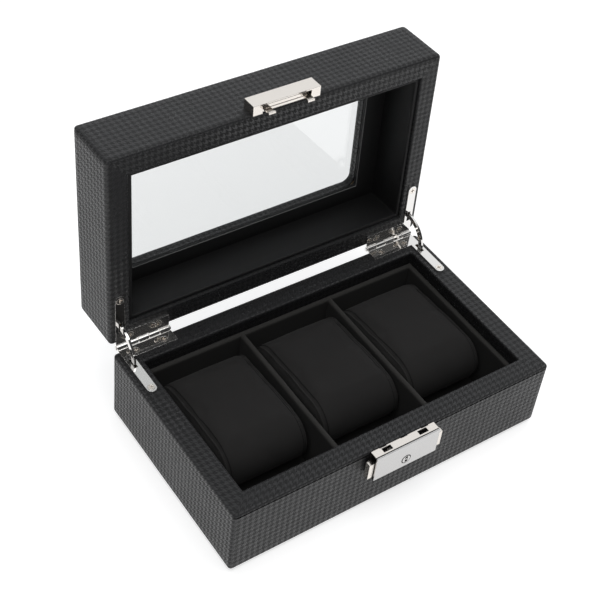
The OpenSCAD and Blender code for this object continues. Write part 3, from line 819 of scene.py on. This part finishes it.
def pull_in_seams(piece, middle, half, low, high):
    """Draws the cover in along the two seams, and lays the bottom flat."""
    points = np.array([v.co for v in piece.data.vertices]) / METRES
    normals = np.array([v.normal for v in piece.data.vertices])
    for seam in (middle - half + THREAD_IN, middle + half - THREAD_IN):
        pull = 0.5 * np.exp(-((points[:, :1] - seam) / 0.9) ** 2)
        points -= normals * pull
    points[:, 2] = np.clip(points[:, 2], low.z, high.z + 0.6)
    piece.data.vertices.foreach_set("co", (points * METRES).ravel())
    piece.data.update()


def make_piping(name, cover, low, high, x, r, material):
    """A cord of radius r round the cushion near x, half sunk in the cover."""
    tree = BVHTree.FromObject(cover, bpy.context.evaluated_depsgraph_get())
    outline = cushion_outline(low, high, 0, 20)
    on_cover = [tree.find_nearest(Vector((x, y, z)) * METRES)[0] / METRES for y, z in outline]
    count = len(on_cover)
    path = [(on_cover[i - 1] + on_cover[i] * 2 + on_cover[(i + 1) % count]) / 4 for i in range(count)]
    sides = 8
    points, faces = [], []
    for i, p in enumerate(path):
        ahead = (path[(i + 1) % count] - path[i - 1]).normalized()
        across = Vector((1, 0, 0))
        out = across.cross(ahead).normalized()
        for k in range(sides):
            a = 2 * math.pi * k / sides
            points.append(p + out * (r * math.cos(a)) + across * (r * math.sin(a)))
    for i in range(count):
        for k in range(sides):
            m, n = (k + 1) % sides, (i + 1) % count
            faces.append((i * sides + k, i * sides + m, n * sides + m, n * sides + k))
    return mesh_object(name, points, faces, material)


def make_cushion(place):
    node = f"cushion_{place}_cover"
    low, high = node_box(node)
    middle, half = (low.x + high.x) / 2, (high.x - low.x) / 2
    cover = prism(f"cushion_{place}_velvet", cushion_outline(low, high, SIM_START, 16),
                  low.x + SIM_START, high.x - SIM_START, cushion_velvet)
    remesh = cover.modifiers.new("Remesh", "REMESH")
    remesh.mode = "VOXEL"
    remesh.voxel_size = VOXEL * METRES
    remesh.use_smooth_shade = True
    apply_modifiers(cover)
    inflate(cover, SIM_CAP)
    finer = cover.modifiers.new("Finer", "SUBSURF")
    finer.levels = finer.render_levels = 1
    apply_modifiers(cover)
    pull_in_seams(cover, middle, half, low, high)
    shade(cover.data, 180)
    stand_for(cover, f"cushion_{place}", "cushion_velvet", node)
    cords = (("piping", SEAM_IN, 0.55, piping_velvet), ("thread", THREAD_IN, 0.24, thread))
    for kind, inset, r, material in cords:
        for end, x in (("left", low.x + inset), ("right", high.x - inset)):
            cord = make_piping(f"cushion_{place}_{kind}_{end}", cover, low, high, x, r, material)
            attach(cord, f"cushion_{place}")
    core = prism(f"cushion_{place}_core", cushion_outline(low, high, CORE_INSET, 12), low.x + CORE_INSET,
                 high.x - CORE_INSET, foam_material)
    round_off = core.modifiers.new("Round", "BEVEL")
    round_off.width = 2 * METRES
    round_off.segments = 3
    stand_for(core, f"cushion_{place}", "foam", f"cushion_{place}_foam")


foam_material = foam()
for place in ("left", "middle", "right"):
    make_cushion(place)


# ------------------------------------------------------------------ inside of the lid

def make_lid_lining():
    """A thin lined card that stands against the lid's walls, a little back from the rim."""
    outer, inner = WALL, WALL + 2.2
    low, top, edge = lining_low.z, lining_high.z, 0.7
    section = [(outer, top)] + line((outer, top - 6), (outer, low + edge), 2)
    section += arc((outer + edge, low + edge), edge, 180, 270, 3)
    section += arc((inner - edge, low + edge), edge, -90, 0, 3)
    section += line((inner, low + edge + 1), (inner, top), 5) + [(inner, top)]
    piece = sweep("lid_lining_card", [inset_level(*p) for p in section], lining, 40, 24, place=lid_open,
                  shape=lambda p, out, n: uneven(p, out, 0.05) if 5 < n < len(section) - 2 else p)
    return stand_for(piece, "lid", "lid_lining_cloth", "lid_lining")


def make_window_mat():
    """The mat that holds the glass, with its cut edge round the opening."""
    outer = (mat_high.x, mat_high.y, SHARPEST)
    opening = (73.0, 36.2, SHARPEST)
    low, top, edge = mat_low.z, mat_high.z, 0.3
    wider = tuple(v + edge for v in opening)
    levels = [(*outer, top), (*outer, low), (*wider, low), (*opening, low + edge), (*opening, top)]
    piece = sweep("window_mat_card", levels, lining, 40, 24, place=lid_open, sharp=30)
    # The mat's cut edge is painted lighter than the lining, as a painted highlight round the opening.
    edge_highlight = Shader("Mat edge highlight", (0.05, 0.05, 0.05), 0.5)
    fray = edge_highlight.noise(0.4, 3.0)
    piece.data.materials.append(edge_highlight.finish(
        Base_Color=edge_highlight.blend(fray, (0.07, 0.07, 0.07), (0.17, 0.17, 0.17))))
    count = len(piece.data.polygons) // len(levels)
    for i in range(2 * count, 3 * count):
        piece.data.polygons[i].material_index = 1
    return stand_for(piece, "lid", "lid_lining_cloth", "window_mat")


make_lid_lining()
make_window_mat()


# ------------------------------------------------------------------ springs

def make_spring(side):
    """The button's coil spring, drawn once at its rest length; the real one shortens as the button goes in.
    """
    node = f"spring_{side}"
    low, high = node_box(node)
    r_wire = 0.3
    r = (high.z - low.z) / 2 - r_wire
    centre_y, centre_z = (low.y + high.y) / 2, (low.z + high.z) / 2
    turns, per_turn, sides = 6, 24, 10
    inner, outer = sorted((low.x, high.x), key=abs)
    reach = (outer - inner) - math.copysign(2 * r_wire, outer)
    first = inner + math.copysign(r_wire, outer)
    points, faces = [], []
    rings = turns * per_turn
    for i in range(rings + 1):
        a = 2 * math.pi * i / per_turn
        centre = Vector((first + reach * i / rings, centre_y + r * math.cos(a), centre_z + r * math.sin(a)))
        out = Vector((0, math.cos(a), math.sin(a)))
        for k in range(sides):
            b = 2 * math.pi * k / sides
            points.append(centre + out * (r_wire * math.cos(b)) + Vector((r_wire * math.sin(b), 0, 0)))
    for i in range(rings):
        for k in range(sides):
            m = (k + 1) % sides
            faces.append((i * sides + k, i * sides + m, (i + 1) * sides + m, (i + 1) * sides + k))
    faces += [tuple(range(sides)), tuple(range(rings * sides, (rings + 1) * sides))]
    piece = mesh_object(f"{node}_coil", points, faces, spring_steel)
    stand_for(piece, "base", "spring_steel", node)
    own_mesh(piece)


for side in ("left", "right"):
    make_spring(side)


# ------------------------------------------------------------------ CAD nodes that stay

def dress(node, material, bevel=0.0, segments=2):
    """Gives a CAD node its material, and softens its edges."""
    piece = frame["nodes"][node]
    piece.data.materials.clear()
    piece.data.materials.append(material)
    if bevel:
        soften = piece.modifiers.new("Soft edges", "BEVEL")
        soften.width = bevel * METRES
        soften.segments = segments
        soften.limit_method = "ANGLE"
        soften.angle_limit = math.radians(35)
        soften.harden_normals = True


board_material = board()
for node in ("base_frame", "base_floor", "lid_frame", "lid_panel"):
    dress(node, board_material)
dress("underside_felt", felt())
dress("window_glass", window_glass(), 0.15)
dress("lock_case", lock_nickel, 0.18, 3)
dress("lock_front", shaded_front_nickel, 0.18, 3)
for node in ("button_left", "button_right", "catch_cover", "catch_hooks"):
    dress(node, warm_nickel, 0.18, 3)
for node in ("catch_screws", "lock_screws", "hinge_screws_base", "hinge_screws_lid"):
    dress(node, screw_nickel, 0.1)
for side in ("left", "right"):
    for leaf in ("base", "lid"):
        dress(f"hinge_{side}_{leaf}_leaf", bright_nickel, 0.25, 3)
    dress(f"hinge_{side}_pin", bright_nickel, 0.1)
    dress(f"stay_{side}", bright_nickel, 0.15)
    dress(f"pawl_{side}", lock_steel, 0.1)
dress("key_cylinder", cylinder_nickel, 0.1)
dress("key_cam", lock_steel, 0.08)


# ------------------------------------------------------------------ studio

def make_floor():
    half = 6000
    points, faces = [(-half, -half, 0), (half, -half, 0), (half, half, 0), (-half, half, 0)], [(0, 1, 2, 3)]
    floor = mesh_object("studio_floor", points, faces, paper(), place=Matrix.Translation((0, 0, -0.3)))


def area_light(name, position, target, size, power):
    data = bpy.data.lights.new(name, "AREA")
    data.shape = "DISK"
    data.size = size
    data.energy = power
    lamp = bpy.data.objects.new(name, data)
    lamp.location = position
    lamp.rotation_euler = (Vector(target) - Vector(position)).to_track_quat("-Z", "Y").to_euler()
    bpy.context.scene.collection.objects.link(lamp)


def make_world(dim, bright):
    """A dim studio with one bright wall at the back right."""
    world = bpy.data.worlds.new("Studio")
    world.use_nodes = True
    nodes, links = world.node_tree.nodes, world.node_tree.links
    place = nodes.new("ShaderNodeTexCoord")
    along = nodes.new("ShaderNodeVectorMath")
    along.operation = "DOT_PRODUCT"
    along.inputs[1].default_value = Vector((0.5, 0.58, 0.64)).normalized()
    ramp = nodes.new("ShaderNodeMapRange")
    ramp.interpolation_type = "SMOOTHSTEP"
    for socket, value in ((1, 0.36), (2, 0.78), (3, dim), (4, bright)):
        ramp.inputs[socket].default_value = value
    background = nodes["Background"]
    links.new(place.outputs["Generated"], along.inputs[0])
    links.new(along.outputs["Value"], ramp.inputs[0])
    background.inputs[0].default_value = (0.97, 0.985, 1.0, 1.0)
    links.new(ramp.outputs[0], background.inputs[1])
    bpy.context.scene.world = world


def make_camera():
    """The photograph's view, from the front left and above, with a slight roll."""
    azimuth, height, roll = (math.radians(a) for a in (-40.77, 42.5, 8.65))
    target, distance = Vector((48.15, 67.56, 40.0)) * METRES, 0.7918
    back = Vector((math.sin(azimuth) * math.cos(height), -math.cos(azimuth) * math.cos(height),
                   math.sin(height)))
    level = (-back).cross(Vector((0, 0, 1))).normalized()
    upward = level.cross(-back)
    right = level * math.cos(roll) + upward * math.sin(roll)
    up = upward * math.cos(roll) - level * math.sin(roll)
    data = bpy.data.cameras.new("Camera")
    data.sensor_width = 36
    data.lens = 82.3
    data.shift_x = -0.0597
    data.shift_y = -0.0655
    data.clip_start = 0.05
    camera = bpy.data.objects.new("Camera", data)
    axes = Matrix((right, up, back)).transposed().to_4x4()
    camera.matrix_world = Matrix.Translation(target + back * distance) @ axes
    bpy.context.scene.collection.objects.link(camera)
    bpy.context.scene.camera = camera


make_floor()
make_world(0.05, 1.0)
area_light("Overhead", (-0.2, -0.35, 1.6), (0, 0, 0), 1.6, 14)
area_light("Fill", (-1.15, -0.35, 1.1), (0, 0, 0), 0.9, 2.4)
make_camera()
bpy.context.scene.view_settings.view_transform = "Standard"
